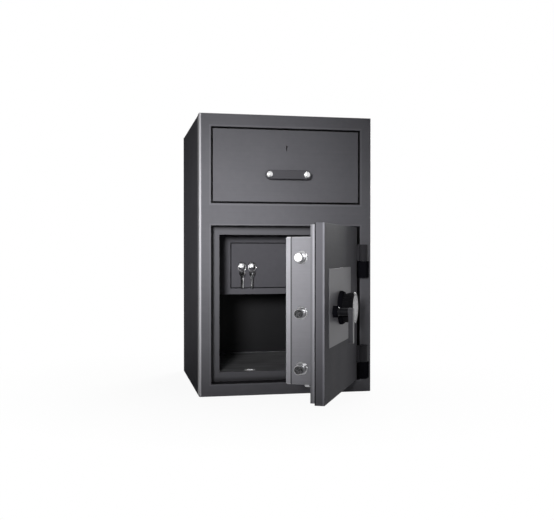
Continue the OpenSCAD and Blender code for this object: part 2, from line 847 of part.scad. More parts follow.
// Bar that carries the side bolts, with the crank's yoke, the lock's tab and the foot bolt's slot
module bolt_carriage() {
    pin_x = hub_x + crank_r * sin(handle_turn / 2);
    slot_w = crank_pin_r + slot_play;
    plate_y = [yoke_y, yoke_y + 6];
    web_down = 30;
    web_up = 22;
    color("silver") swung() {
        span([bar_x0, bolt_y - bolt_r, bolt_zm - bar_reach],
             [bar_x0 + bar_w, bolt_y + bolt_r, bolt_zm + bar_reach]);
        difference() {
            span([pin_x - 7, plate_y[0], hub_z - crank_r - 12], [bar_x0 + bar_w, plate_y[1], hub_z - 3]);
            span([pin_x - slot_w, plate_y[0] - over, hub_z - crank_r - crank_pin_r - 2],
                 [pin_x + slot_w, plate_y[1] + over,
                  hub_z - crank_r * cos(handle_turn / 2) + crank_pin_r + 2]);
        }
        span([bar_x0, plate_y[0], hub_z - crank_r - web_down], [bar_x0 + bar_w, bolt_y, tab_z0 + web_up]);
        difference() {
            span([bar_x0 + bar_w, lock_bolt_y - 3, tab_z0],
                 [dial_x + bolt_throw + 18, lock_bolt_y + lock_bolt_t + 3, tab_z0 + 16]);
            for (x = [0, bolt_throw])
                span([dial_x + x - lock_bolt_w / 2 - 0.6, lock_bolt_y - 4, tab_z0 - over],
                     [dial_x + x + lock_bolt_w / 2 + 0.6, lock_bolt_y + lock_bolt_t + 4, tab_z0 + 9]);
        }
        foot_tab();
    }
}

// Tab with the slanting slot that drives the foot bolt down as the carriage goes out
module foot_tab() {
    slot_r = 3.4;
    run = [bolt_throw, -foot_throw];
    y0 = foot_strap_y + 4;
    difference() {
        span([foot_pin_x - slot_r - 4, y0, foot_pin_z - foot_throw - 10],
             [foot_pin_x + bolt_throw + slot_r + 5, y0 + 3, foot_pin_z + 26]);
        translate([foot_pin_x, y0 + 4, foot_pin_z]) rotate([90, 0, 0]) linear_extrude(5) {
            circle(r = slot_r, $fn = fine);
            translate(run) circle(r = slot_r, $fn = fine);
            rotate(atan2(run[1], run[0])) translate([0, -slot_r]) square([norm(run), 2 * slot_r]);
        }
    }
    span([bar_x0, bolt_y, foot_pin_z + 12], [bar_x0 + bar_w, y0 + 1, foot_pin_z + 26]);
}

// Round bolt with a chamfered nose, standing on the carriage
module side_bolt(i) {
    tip = box_x0 - bolt_show;
    nose = 1.5;
    color("silver") swung()
        translate([tip, bolt_y, bolt_zm + i * bolt_pitch]) rotate([0, 90, 0])
            rotate_extrude($fn = fine)
                polygon([[0, 0], [bolt_r - nose, 0], [bolt_r, nose], [bolt_r, bar_x0 - tip],
                         [0, bar_x0 - tip]]);
}

module locking_bolt_top() { side_bolt(1); }
module locking_bolt_middle() { side_bolt(0); }
module locking_bolt_bottom() { side_bolt(-1); }

// Bolt that drops into the floor, with the strap that hangs from the carriage's slot
module bottom_bolt() {
    nose = 1.5;
    tip = box_z0 - foot_show;
    color("silver") swung() {
        translate([foot_x, foot_y, tip]) rotate_extrude($fn = fine)
            polygon([[0, 0], [bolt_r - nose, 0], [bolt_r, nose], [bolt_r, foot_top - tip],
                     [0, foot_top - tip]]);
        span([foot_x - 8, foot_y, foot_top - 4], [foot_x + 8, foot_strap_y + 3, foot_top]);
        span([foot_x - 8, foot_strap_y, foot_top - 4], [foot_x + 8, foot_strap_y + 3, foot_pin_z + 8]);
        span([foot_x - 8, foot_strap_y, foot_pin_z - 8],
             [foot_pin_x + 8, foot_strap_y + 3, foot_pin_z + 8]);
        bar_y(foot_pin_x, foot_pin_z, foot_strap_y, foot_strap_y + 8, 3);
    }
}

// Deposit drawer

module drawer_front() {
    color("dimgray") placed() difference() {
        linear_extrude_z(front_z0, front_z1) {
            translate([front_x0 + 1.5, 0]) square([front_x1 - front_x0 - 3, drawer_front_t]);
            translate([front_x0, 1.5]) square([front_x1 - front_x0, drawer_front_t - 1.5]);
            for (x = [front_x0 + 1.5, front_x1 - 1.5]) translate([x, 1.5]) circle(r = 1.5, $fn = fine);
        }
        keyhole(-over, drawer_front_t + over);
        for (x = [-1, 1])
            bar_y(body_w / 2 + x * pull_pitch / 2, pull_z, -over, drawer_front_t + over, pull_drill_r);
        span([body_w / 2 - 5.2, 8, front_z1 - 30], [body_w / 2 + 5.2, 16.2, front_z1 + over]);
    }
}

// Round hole with a slot below it
module keyhole(y0, y1) {
    bar_y(body_w / 2, keyhole_z + 4, y0, y1, 2.6);
    span([body_w / 2 - 1.3, y0, keyhole_z - 7], [body_w / 2 + 1.3, y1, keyhole_z + 4]);
}

// Two sides and a floor that slopes to the open back
module drawer_tray() {
    slope_z = tray_z0 + tray_fall;
    color("gray") placed() {
        for (x = [tray_x0, tray_x1 - tray_t])
            span([x, drawer_front_t, tray_z0], [x + tray_t, tray_y1, tray_z1]);
        translate([tray_x0 + tray_t, 0, 0]) rotate([90, 0, 90])
            linear_extrude(tray_x1 - tray_x0 - 2 * tray_t)
                polygon([[drawer_front_t, slope_z], [tray_y1 - 20, tray_z0], [tray_y1, tray_z0],
                         [tray_y1, tray_z0 + tray_t], [tray_y1 - 20, tray_z0 + tray_t],
                         [drawer_front_t, slope_z + tray_t]]);
    }
}

// Flat bar with round ends, standing on two round feet
module drawer_pull() {
    half = pull_pitch / 2 + pull_w / 2;
    color("black") placed() translate([body_w / 2, 0, pull_z]) difference() {
        union() {
            face_plate([-half, pull_front, -pull_w / 2], [half, -pull_room, pull_w / 2], pull_w / 2 - 0.01);
            for (x = [-1, 1])
                bar_y(x * pull_pitch / 2, 0, -pull_room - over, 0, pull_foot_r);
        }
        for (x = [-1, 1])
            bar_y(x * pull_pitch / 2, 0, pull_front - over, over, pull_drill_r);
    }
}

// Domed screws through the bar and its feet, with their nuts behind the drawer front
module pull_screws() {
    nut_t = 5;
    color("silver") placed()
        for (x = [-1, 1]) translate([body_w / 2 + x * pull_pitch / 2, 0, pull_z]) {
            turned_out(0, pull_front, 0)
                polygon([[0, 0], [pull_r, 0], [pull_r, 2], [pull_r - 2, 4.5], [pull_r - 5, 5.5], [0, 5.5]]);
            bar_y(0, 0, pull_front, drawer_front_t + nut_t, 3);
            translate([0, drawer_front_t + nut_t, 0]) rotate([90, 0, 0])
                cylinder(r = 6, h = nut_t, $fn = 6);
        }
}

// Nylon shoes on the tray that ride on the rails
module drawer_slides() {
    color("ivory") placed()
        for (side = [0, 1])
            translate([side * body_w, 0, 0]) mirror([side, 0, 0])
                span([room_x0 + 3, drawer_front_t + 24, runner_z + 2.8],
                     [tray_x0, tray_y1 - 10, runner_z + 2.8 + shoe_h]);
}

// Lever lock behind the keyhole
module drawer_lock() {
    color("goldenrod") placed() difference() {
        span([(body_w - drawer_case_w) / 2, drawer_front_t, keyhole_z - drawer_case_h / 2],
             [(body_w + drawer_case_w) / 2, drawer_front_t + drawer_case_t,
              keyhole_z + drawer_case_h / 2]);
        keyhole(drawer_front_t - over, drawer_front_t + 6);
    }
}

// Flat bolt that rises from the drawer front into the top rail
module drawer_bolt() {
    color("silver") placed()
        span([body_w / 2 - 5, 8.2, front_z1 - 29], [body_w / 2 + 5, 16, front_z1 - 1]);
}

// Locker

// Sheet box with a front frame round its door, and a strike for each lock
module locker_box() {
    color("gray") placed()
        span([lid_x0 - locker_gap - 11, locker_in + locker_t - seat, lock_z - 12],
             [lid_x0 - locker_gap, cam_y - 1, lock_z + 12]);
    color("gray") placed()
        span([lock_at(1) - 12, locker_in + locker_t - seat, lid_z1 + locker_gap],
             [lock_at(1) + 12, cam_y - 1, lid_z1 + locker_gap + 11]);
    color("gray") placed() difference() {
        span([lkr_x0, locker_in, lkr_z0], [lkr_x1, lkr_y1, lkr_z1]);
        span([lkr_x0 + locker_t, locker_in + locker_t, lkr_z0 + locker_t],
             [lkr_x1 - locker_t, lkr_y1 - locker_t, lkr_z1 - locker_t]);
        span([lid_x0 - locker_gap, locker_in - over, lid_z0 - locker_gap],
             [lid_x1 + locker_gap, locker_in + locker_t + over, lid_z1 + locker_gap]);
    }
}

// The locks' places along the locker door
function lock_at(i) = lock_x + i * lock_pitch;

module locker_door() {
    color("darkgray") placed() difference() {
        span([lid_x0, locker_in, lid_z0], [lid_x1, locker_in + locker_t, lid_z1]);
        for (i = [0, 1])
            bar_y(lock_at(i), lock_z, locker_in - over, locker_in + locker_t + over, 8.1);
    }
}

lkr_hinge_zs = [lid_z0 + 14, lid_z1 - 14 - 2 * lkr_knuckle_h];

// Lower half of each locker hinge, with its pin
module locker_hinge_pins() {
    color("gray") placed()
        for (z = lkr_hinge_zs) {
            z1 = z + lkr_knuckle_h;
            bar_z(lkr_hinge_x, lkr_hinge_y, z, z1, lkr_knuckle_r);
            bar_z(lkr_hinge_x, lkr_hinge_y, z, z1 + lkr_knuckle_h - 3, lkr_pin_r);
            span([lkr_hinge_x, locker_in - 2, z], [lkr_hinge_x + 14, locker_in, z1]);
            span([lkr_hinge_x, lkr_hinge_y, z], [lkr_hinge_x + lkr_knuckle_r, locker_in - 1, z1]);
        }
}

// Upper half of each locker hinge, on the locker's door
module locker_hinge_leaves() {
    color("gray") placed()
        for (z = lkr_hinge_zs) {
            z0 = z + lkr_knuckle_h;
            z1 = z0 + lkr_knuckle_h;
            difference() {
                union() {
                    bar_z(lkr_hinge_x, lkr_hinge_y, z0 + 0.3, z1, lkr_knuckle_r);
                    span([lkr_hinge_x - 14, locker_in - 2, z0 + 0.3], [lkr_hinge_x - 1, locker_in, z1]);
                    span([lkr_hinge_x - lkr_knuckle_r, lkr_hinge_y, z0 + 0.3],
                         [lkr_hinge_x - 1, locker_in - 1, z1]);
                }
                bar_z(lkr_hinge_x, lkr_hinge_y, z0 - over, z1 - 2, lkr_pin_r + pin_fit);
            }
        }
}

// Flanged shells of the two cylinder locks
module locker_lock_shells() {
    color("silver") placed()
        for (i = [0, 1])
            turned_out(lock_at(i), locker_in + 15, lock_z)
                polygon([[plug_r + plug_fit, 0], [8, 0], [8, 15], [lock_dia / 2, 15], [lock_dia / 2, 17.5],
                         [lock_dia / 2 - 2, 15 + lock_flange], [plug_r + plug_fit, 15 + lock_flange]]);
}

// Turning plug with its locking cam; the cam points along angle a in the face's plane
module plug_and_cam(x, a, reach) {
    translate([x, 0, lock_z]) difference() {
        union() {
            bar_y(0, 0, locker_in - lock_flange + 0.5, cam_y, plug_r);
            translate([0, cam_y + 3, 0]) rotate([90, 0, 0]) rotate([0, 0, a]) linear_extrude(3) {
                circle(r = 8, $fn = fine);
                translate([0, -6]) square([reach, 12]);
            }
        }
        span([-key_t / 2 - 0.1, locker_in - lock_flange - over, -4.1],
             [key_t / 2 + 0.1, locker_in + 14, 4.1]);
    }
}

// Key upright in its plug, its round bow in front
module key_in_lock(x) {
    bow_y = locker_in - lock_flange - bow_r - 10;
    translate([x - key_t / 2, 0, lock_z]) rotate([90, 0, 90]) linear_extrude(key_t) {
        difference() {
            translate([bow_y, 0]) circle(r = bow_r, $fn = fine);
            translate([bow_y - 4, 0]) circle(r = 3, $fn = fine);
        }
        translate([bow_y + bow_r - 2, -4]) square([locker_in + 12 - bow_y - bow_r + 2, 8]);
    }
}

ring_y = locker_in - lock_flange - 5.5;
ring_z = lock_z - 5.5;

// Wire ring hung round the shank of the key
module key_ring(x) {
    translate([x, ring_y, ring_z]) rotate([90, 0, 0])
        rotate_extrude($fn = fine) translate([ring_r, 0]) circle(r = ring_wire, $fn = 24);
}

// Spare key hanging from the ring, turned halfway about its length
module spare_key(x) {
    notches = [26, 31, 36, 41];
    tip = 50;
    translate([x, ring_y, ring_z - ring_r - 1.5]) rotate([0, 0, 45]) translate([-key_t / 2, 0, 0])
        rotate([90, 0, 90]) linear_extrude(key_t)
            difference() {
                union() {
                    translate([0, -5]) circle(r = 9.5, $fn = fine);
                    polygon([[-4, -10], [-4, 4 - tip], [0.5, -tip], [4, 4 - tip], [4, -10]]);
                }
                circle(r = 3.5, $fn = fine);
                for (n = notches) translate([4.6, -n]) circle(r = 1.6, $fn = 24);
            }
}

module left_plug() { color("silver") placed() plug_and_cam(lock_at(0), 180, lock_x - lid_x0 + 9); }
module left_key() { color("silver") placed() key_in_lock(lock_at(0)); }
module left_key_ring() { color("silver") placed() key_ring(lock_at(0)); }
module left_spare_key() { color("silver") placed() spare_key(lock_at(0)); }
module right_plug() { color("silver") placed() plug_and_cam(lock_at(1), -90, lid_z1 - lock_z + 9); }
module right_key() { color("silver") placed() key_in_lock(lock_at(1)); }
module right_key_ring() { color("silver") placed() key_ring(lock_at(1)); }
module right_spare_key() { color("silver") placed() spare_key(lock_at(1)); }

outer_wrap();
base_plate();
back_plate();
front_frame();
chamber_liner();
hopper_liner();
wall_fill();
side_keepers();
floor_keeper();
anti_fish_baffle();
drawer_runners();
locker_box();
body_hinges();
hinge_pins();
locker_hinge_pins();
door_plate();
door_step();
boltwork_channel();
boltwork_cover();
cover_screws();
bolt_collars();
faceplate();
dial_ring();
lock_case();
lock_cover();
handle_rose();
door_hinges();
handle_lever();
handle_spindle();
bolt_crank();
bolt_carriage();
locking_bolt_top();
locking_bolt_middle();
locking_bolt_bottom();
bottom_bolt();
dial_knob();
dial_face();
dial_spindle();
drive_cam();
wheel_pack();
lock_bolt();
drawer_front();
drawer_tray();
drawer_pull();
pull_screws();
drawer_slides();
drawer_lock();
drawer_bolt();
locker_door();
locker_hinge_leaves();
locker_lock_shells();
left_plug();
left_key();
left_key_ring();
left_spare_key();
right_plug();
right_key();
right_key_ring();
right_spare_key();
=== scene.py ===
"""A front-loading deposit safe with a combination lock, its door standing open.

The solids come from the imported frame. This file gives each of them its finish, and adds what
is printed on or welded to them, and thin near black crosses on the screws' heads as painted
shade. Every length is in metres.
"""

import json
import math

import bmesh
import bpy
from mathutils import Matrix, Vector


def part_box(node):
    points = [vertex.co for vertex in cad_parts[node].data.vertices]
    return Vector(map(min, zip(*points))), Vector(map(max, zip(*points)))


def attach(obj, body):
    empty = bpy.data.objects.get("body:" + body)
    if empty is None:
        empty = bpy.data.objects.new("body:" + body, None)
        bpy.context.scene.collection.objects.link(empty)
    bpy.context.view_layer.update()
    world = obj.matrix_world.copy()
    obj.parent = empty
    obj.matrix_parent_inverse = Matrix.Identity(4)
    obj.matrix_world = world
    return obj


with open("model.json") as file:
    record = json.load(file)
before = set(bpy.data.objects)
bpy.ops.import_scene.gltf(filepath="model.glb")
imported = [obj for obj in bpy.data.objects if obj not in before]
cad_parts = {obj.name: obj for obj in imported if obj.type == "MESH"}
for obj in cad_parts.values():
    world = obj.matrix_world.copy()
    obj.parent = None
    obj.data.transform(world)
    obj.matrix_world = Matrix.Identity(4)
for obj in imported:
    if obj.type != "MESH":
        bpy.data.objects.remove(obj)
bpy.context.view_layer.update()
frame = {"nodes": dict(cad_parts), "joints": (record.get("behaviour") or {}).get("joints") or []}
nodes = frame["nodes"]

# The camera stands to the left of the safe and a little above its middle, about two metres
# away, and looks almost level at it.
camera = bpy.data.objects.new("camera", bpy.data.cameras.new("camera"))
bpy.context.scene.collection.objects.link(camera)
camera.location = (-0.4627, -2.3942, 0.3905)
camera.rotation_euler = (math.radians(89.4), 0, math.radians(-11.45))
camera.data.sensor_width = 36
camera.data.lens = 52.18
bpy.context.scene.camera = camera
bpy.context.scene.view_settings.view_transform = "Standard"


# Body: bent and welded steel plate under a charcoal powder coat. The coat has a fine orange
# peel and a slow change of tone and gloss. It is paler on its corners, partly from wear and
# partly as a painted highlight where rounded edges catch the lamp.
class Wire:
    """A number or a colour on its way between shader nodes: sums on it add Math nodes."""

    def __init__(self, graph, socket):
        self.graph = graph
        self.socket = socket

    def beside(self, name):
        """Another output of the node that this one comes from."""
        return Wire(self.graph, self.socket.node.outputs[name])

    def __add__(self, other):
        return self.graph.math("ADD", self, other)

    def __sub__(self, other):
        return self.graph.math("SUBTRACT", self, other)

    def __rsub__(self, other):
        return self.graph.math("SUBTRACT", other, self)

    def __mul__(self, other):
        return self.graph.math("MULTIPLY", self, other)

    def __lt__(self, other):
        return self.graph.math("LESS_THAN", self, other)

    __radd__ = __add__
    __rmul__ = __mul__


class Graph:
    """The shader nodes of one material or of the surround."""

    def __init__(self, tree):
        self.tree = tree

    def node(self, kind, settings, values, out=0):
        """A node of a type: its settings come first, then its sockets' values or links."""
        made = self.tree.nodes.new(kind)
        for name, value in settings.items():
            setattr(made, name, value)
        for socket, value in values.items():
            if isinstance(value, Wire):
                self.tree.links.new(value.socket, made.inputs[socket])
            else:
                made.inputs[socket].default_value = value
        return Wire(self, made.outputs[out])

    def math(self, operation, first, second, clamp=False):
        settings = {"operation": operation, "use_clamp": clamp}
        return self.node("ShaderNodeMath", settings, {0: first, 1: second})

    def largest(self, *values):
        most = values[0]
        for value in values[1:]:
            most = self.math("MAXIMUM", most, value)
        return most

    def spread(self, wire, low, high):
        """An amount from 0 to 1, made to run from low to high."""
        return self.node("ShaderNodeMapRange", {}, {"Value": wire, "To Min": low, "To Max": high})


class Finish(Graph):
    """One material: a Principled shader and the nodes that feed it."""

    def __init__(self, name, constants):
        self.material = bpy.data.materials.new(name)
        self.material.use_nodes = True
        super().__init__(self.material.node_tree)
        self.shader = self.tree.nodes["Principled BSDF"]
        for socket, value in constants.items():
            self.shader.inputs[socket].default_value = value

    def feed(self, socket, wire):
        self.tree.links.new(wire.socket, self.shader.inputs[socket])

    def place(self):
        return self.node("ShaderNodeTexCoord", {}, {}, "Object")

    def noise(self, scale, detail=2, stretch=None, rough=0.5, where=None):
        """Soft patches, closer together along an axis with a larger stretch."""
        where = where or self.place()
        if stretch:
            where = self.node("ShaderNodeMapping", {}, {"Vector": where, "Scale": stretch})
        values = {"Vector": where, "Scale": scale, "Detail": detail, "Roughness": rough}
        return self.node("ShaderNodeTexNoise", {}, values)

    def blend(self, amount, first, second):
        """The second paint over the first by an amount; a paint is a wire or a colour."""
        first, second = (paint if isinstance(paint, Wire) else (*paint, 1)
                         for paint in (first, second))
        return self.node("ShaderNodeMix", {"data_type": "RGBA"},
                         {0: amount, 6: first, 7: second}, 2)

    def soft_edge(self, radius):
        return self.node("ShaderNodeBevel", {"samples": 4}, {"Radius": radius})

    def vectors(self, operation, first, second=None, out=0):
        values = {0: first} if second is None else {0: first, 1: second}
        return self.node("ShaderNodeVectorMath", {"operation": operation}, values, out)

    def on_corner(self, radius, turn=None):
        """How far a point lies on a corner, from 0 to about 0.3. A squared piece has its turn
        about the upright axis given."""
        edge = self.soft_edge(radius)
        if turn is None:
            face = self.node("ShaderNodeNewGeometry", {}, {}, "Normal")
            return 1 - self.vectors("DOT_PRODUCT", edge, face, "Value")
        own = self.node("ShaderNodeVectorRotate", {"rotation_type": "Z_AXIS"},
                        {"Vector": edge, "Angle": -turn})
        x = self.node("ShaderNodeSeparateXYZ", {}, {0: self.vectors("ABSOLUTE", own)}, "X")
        return 1 - self.largest(x, x.beside("Y"), x.beside("Z"))

    def along(self, direction, origin):
        """Metres from a point along a direction."""
        aside = self.vectors("SUBTRACT", self.place(), tuple(origin))
        return self.vectors("DOT_PRODUCT", aside, tuple(direction), "Value")

    def over(self, amount, limit):
        """1 where an amount is over a limit, with a step as soft as sprayed paint has."""
        softness = 0.0003
        return self.node("ShaderNodeMapRange", {"interpolation_type": "SMOOTHSTEP"},
                         {"Value": amount, "From Min": limit - softness,
                          "From Max": limit + softness})

    def under(self, amount, limit):
        return 1 - self.over(amount, limit)

    def within(self, amount, low, high):
        return self.over(amount, low) * self.under(amount, high)

    def off_opening(self, low, high):
        """Metres from the rim of an upright opening; less than 0 inside it."""
        sides = []
        for axis, line in ((0, (1, 0, 0)), (2, (0, 0, 1))):
            place = self.along(line, (0, 0, 0))
            sides += [low[axis] - place, place - high[axis]]
        return self.largest(*sides)

    def bump(self, height, depth, radius=None):
        values = {"Height": height, "Distance": depth}
        if radius:
            values["Normal"] = self.soft_edge(radius)
        self.feed("Normal", self.node("ShaderNodeBump", {}, values))


def shade(colour, level):
    return tuple(min(1, level * part) for part in colour)


def powder_coat(name, colour, gloss=0.5, peel=0.00006, edge=0.0012, wear_and_highlight=0.35, shine=0.02,
                turn=None, zones=(), wiped=0):
    """A sprayed coat. peel is how deep its grain is and edge how far it rounds a corner. The
    corners are made paler by the next amount, partly as wear and partly as a painted highlight
    where a rounded edge catches the lamp. wiped is how much the level streaks of a cloth show.
    Each of the zones is a mask and the colour inside it."""
    coat = Finish(name, {"Specular IOR Level": shine})
    slow = coat.noise(scale=9, detail=4)
    clouds = coat.spread(coat.noise(scale=75, detail=4), 0, 0.26)
    grain = coat.spread(coat.noise(scale=2400, detail=1), 0, 0.25)
    base = coat.blend(slow, shade(colour, 0.8), shade(colour, 1.08))
    base = coat.blend(clouds, base, shade(colour, 1.6))
    base = coat.blend(grain, base, shade(colour, 1.7))
    if wiped:
        streaks = coat.noise(scale=2, detail=3, stretch=(1.5, 1.5, 130), rough=0.7)
        base = coat.blend(coat.spread(streaks, 0, wiped), base, shade(colour, 2.4))
    # Paler corners: wear, and a painted highlight on rounded edges.
    base = coat.blend(coat.on_corner(edge, turn) * wear_and_highlight, base, shade(colour, 3.2))
    for mask, paint in zones:
        base = coat.blend(mask(coat), base, paint)
    coat.feed("Base Color", base)
    sheen = coat.noise(scale=16, detail=5)
    coat.feed("Roughness", coat.spread(sheen, gloss - 0.06, gloss + 0.08))
    coat.bump(coat.noise(scale=900, detail=2), peel, edge)
    return coat.material


def dress(material, *names):
    for name in names:
        slots = nodes[name].data.materials
        if not slots:
            slots.append(material)
        for index in range(len(slots)):
            slots[index] = material


charcoal = (0.088, 0.087, 0.096)
# The bent plates take a darker copy of the charcoal. This is painted shade for the sides, top and
# back, which the lamp lights less than the front.
shaded_plate_charcoal = shade(charcoal, 0.68)
dress(powder_coat("shaded_plate_coat", shaded_plate_charcoal, gloss=0.62, edge=0.003, wear_and_highlight=0.5, shine=0, turn=0),
      "outer_wrap", "base_plate", "back_plate")

# Front frame: one thick plate with the drawer's way and the door's way cut through it, welded
# to the bent plates under the same coat. The coat is painted dark in the gaps as shade and a
# little paler beside them as a highlight. Its sides and top take the plates' darker copy as
# painted shade, and the left bend has a bright painted highlight.
drawer_low, drawer_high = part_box("drawer_front")
drawer_gap = 0.003
door_way_foot, door_way_head = 0.034, 0.46
way_low = Vector((drawer_low.x - drawer_gap, 0, drawer_low.z - drawer_gap))
way_high = Vector((drawer_high.x + drawer_gap, 0, drawer_high.z + drawer_gap))
door_way_low = Vector((way_low.x, 0, door_way_foot))
door_way_high = Vector((way_high.x, 0, door_way_head))
frame_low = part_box("front_frame")[0]
lip_strength = 0.5
way_gap, way_lip = 0.0012, (0.0022, 0.0062)
door_way_gap, door_way_lip = 0.0014, (0.0024, 0.0054)
bend_width, bend_depth, face_depth = 0.0052, 0.0024, 0.0034


# Painted shade in the gaps round the drawer's way and the door's way.
def frame_gap_shade(coat):
    return (coat.under(coat.off_opening(way_low, way_high), way_gap)
            + coat.under(coat.off_opening(door_way_low, door_way_high), door_way_gap))


# Painted highlight on the lips beside both ways.
def frame_lip_highlight(coat):
    lips = (coat.within(coat.off_opening(way_low, way_high), *way_lip)
            + coat.within(coat.off_opening(door_way_low, door_way_high), *door_way_lip))
    return lips * lip_strength


# Painted highlight along the frame's left bend.
def left_bend_highlight(coat):
    return (coat.under(coat.along((1, 0, 0), frame_low), bend_width)
            * coat.under(coat.along((0, 1, 0), frame_low), bend_depth))


# The frame's sides and top, which take the plates' darker copy as painted shade.
def behind_the_front(coat):
    return coat.over(coat.along((0, 1, 0), frame_low), face_depth)


dress(powder_coat("frame_coat", charcoal, gloss=0.45, edge=0.0024, wear_and_highlight=1.8, shine=0.1, turn=0,
                  zones=((behind_the_front, shaded_plate_charcoal),
                         (frame_lip_highlight, shade(charcoal, 1.7)),
                         (frame_gap_shade, shade(charcoal, 0.12)),
                         (left_bend_highlight, (0.44, 0.435, 0.46))),
                  wiped=0.1), "front_frame")

# Fill: concrete cast between the plates and the linings. It is grey and grainy, with darker
# stones, and only its edges would ever be seen.
concrete = Finish("cast_fill", {"Roughness": 0.9})
stones = concrete.node("ShaderNodeTexVoronoi", {}, {"Vector": concrete.place(), "Scale": 120.0})
concrete.feed("Base Color", concrete.blend(stones, (0.27, 0.26, 0.25), (0.45, 0.44, 0.42)))
concrete.bump(concrete.noise(scale=300, detail=4), depth=0.0006)
dress(concrete.material, "wall_fill")

# Linings, baffle and tray: thinner sheet, folded and welded. The linings are painted near
# black, shade that stands in for the dark inside of the chamber and the hopper, and the baffle
# and the tray have a dark grey coat. Only the flange round the chamber's mouth is charcoal,
# painted darker towards the frame as its shadow. Deposit bags have worn the chamber's floor in
# pale streaks, which are also painted sheen.
# Near black: painted shade for the dark inside of the chamber and the hopper.
shaded_lining_colour = (0.009, 0.009, 0.01)
flange_depth, flange_darkness = 0.0045, 0.85
darkening_starts, darkest_from = 0.015, 0.002
flange_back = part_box("chamber_liner")[0].y + flange_depth
keeper_stands = 0.0006
chamber_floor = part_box("floor_keeper")[1].z - keeper_stands
sheet_above, sheet_below = 0.0007, 0.01


def on_flange(coat):
    return coat.along((0, 1, 0), (0, 0, 0)) < flange_back


def flange_shade(coat):
    """The outer part of the flange, painted dark up to the frame as the frame's shadow."""
    into_way = coat.off_opening(door_way_low, door_way_high)
    limits = {"Value": into_way, "From Min": -darkening_starts, "From Max": -darkest_from}
    rise = coat.node("ShaderNodeMapRange", {"interpolation_type": "SMOOTHSTEP"}, limits)
    return on_flange(coat) * rise * flange_darkness


def bag_rubs_and_sheen(coat):
    """Pale streaks from side to side on the chamber's floor: rubs where bags slide over it, and
    painted sheen.
    """
    height = coat.along((0, 0, 1), (0, 0, 0))
    on_floor = coat.within(height, chamber_floor - sheet_below, chamber_floor + sheet_above)
    return on_floor * coat.noise(scale=2, detail=3, stretch=(4, 26, 1))


dress(powder_coat("lining_coat", shaded_lining_colour, gloss=0.4, peel=0.00005, edge=0.001, wear_and_highlight=0.3,
                  shine=0.12,
                  zones=((bag_rubs_and_sheen, (0.46, 0.46, 0.48)),
                         (on_flange, charcoal),
                         (flange_shade, shade(charcoal, 0.35)))),
      "chamber_liner", "hopper_liner")
dress(powder_coat("tray_coat", shade(shaded_lining_colour, 4.3), gloss=0.46, peel=0.00005, edge=0.001,
                  wear_and_highlight=0.3, shine=0.05), "anti_fish_baffle", "drawer_tray")

# Locker: a folded sheet box fixed in the top of the chamber, with its own door on pins. The
# door is a little darker and glossier than the box round it, and its rim is painted dark as the
# shade in its gap.
dress(powder_coat("locker_coat", (0.07, 0.069, 0.077), gloss=0.45, peel=0.00004, edge=0.0008),
      "locker_box")
locker_door_low, locker_door_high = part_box("locker_door")
rim_inside, rim_outside = 0.0016, 0.01


def locker_rim_shade(coat):
    """The door's rim and the part of its hinges in the gap, painted dark as the gap's shade."""
    off_door = coat.off_opening(locker_door_low, locker_door_high)
    return coat.within(off_door, -rim_inside, rim_outside)


dress(powder_coat("locker_door_coat", (0.06, 0.059, 0.066), gloss=0.42, peel=0.00004,
                  edge=0.0008, zones=((locker_rim_shade, (0.012, 0.012, 0.013)),)),
      "locker_door", "locker_hinge_leaves", "locker_hinge_pins")

# Drawer front: thick plate in the body's charcoal, fixed to the front of the tray. It is as
# glossy as the frame round it, and its rim is painted dark as the shade in the gap.
drawer_rim_width = 0.0014


# Painted shade along the front's rim.
def drawer_rim_shade(coat):
    return coat.over(coat.off_opening(drawer_low, drawer_high), -drawer_rim_width)


dress(powder_coat("drawer_coat", shade(charcoal, 0.97), gloss=0.45, edge=0.0022, wear_and_highlight=0.8,
                  shine=0.1, turn=0, zones=((drawer_rim_shade, shade(charcoal, 0.12)),), wiped=0.1),
      "drawer_front")

# Door: one thick plate in a darker tone of the body's charcoal, cut square and hung on two
# welded hinges. Its free edge and its front corner are painted paler as highlights, and the
# seam to the second plate is painted dark as shade.
swing = next(joint for joint in frame["joints"] if joint["name"] == "door_swing")
door_turn = -math.radians(swing["range_deg"][0])
across = Vector((math.cos(door_turn), math.sin(door_turn), 0))
inward = Vector((-math.sin(door_turn), math.cos(door_turn), 0))
outward = -inward
up = Vector((0, 0, 1))
hinge = Vector(swing["pos_m"])


def reach_of(name, direction):
    """The least and the most that a node reaches along a direction from the hinge."""
    reaches = [(vertex.co - hinge).dot(direction) for vertex in nodes[name].data.vertices]
    return min(reaches), max(reaches)


plate_front, plate_back = reach_of("door_plate", inward)
plate_free = reach_of("door_plate", across)[0]
free_width, lip_width, lip_depth, seam_depth = 0.0006, 0.0012, 0.0042, 0.0024


# Painted light on the plate's free edge, which catches more of the lamp.
def plate_edge_highlight(coat):
    return coat.under(coat.along(across, hinge), plate_free + free_width)


# Painted highlight on the front corner of the free edge.
def plate_lip_highlight(coat):
    return (coat.under(coat.along(across, hinge), plate_free + lip_width)
            * coat.under(coat.along(inward, hinge), plate_front + lip_depth))


# Painted shade in the seam to the second plate.
def plate_seam_shade(coat):
    return coat.over(coat.along(inward, hinge), plate_back - seam_depth)


dress(powder_coat("door_coat", shade(charcoal, 0.76), edge=0.0026, wear_and_highlight=3.0, shine=0.01,
                  turn=door_turn,
                  zones=((plate_edge_highlight, shade(charcoal, 2.0)),
                         (plate_lip_highlight, shade(charcoal, 3.9)),
                         (plate_seam_shade, shade(charcoal, 0.2))),
                  wiped=0.1), "door_plate")

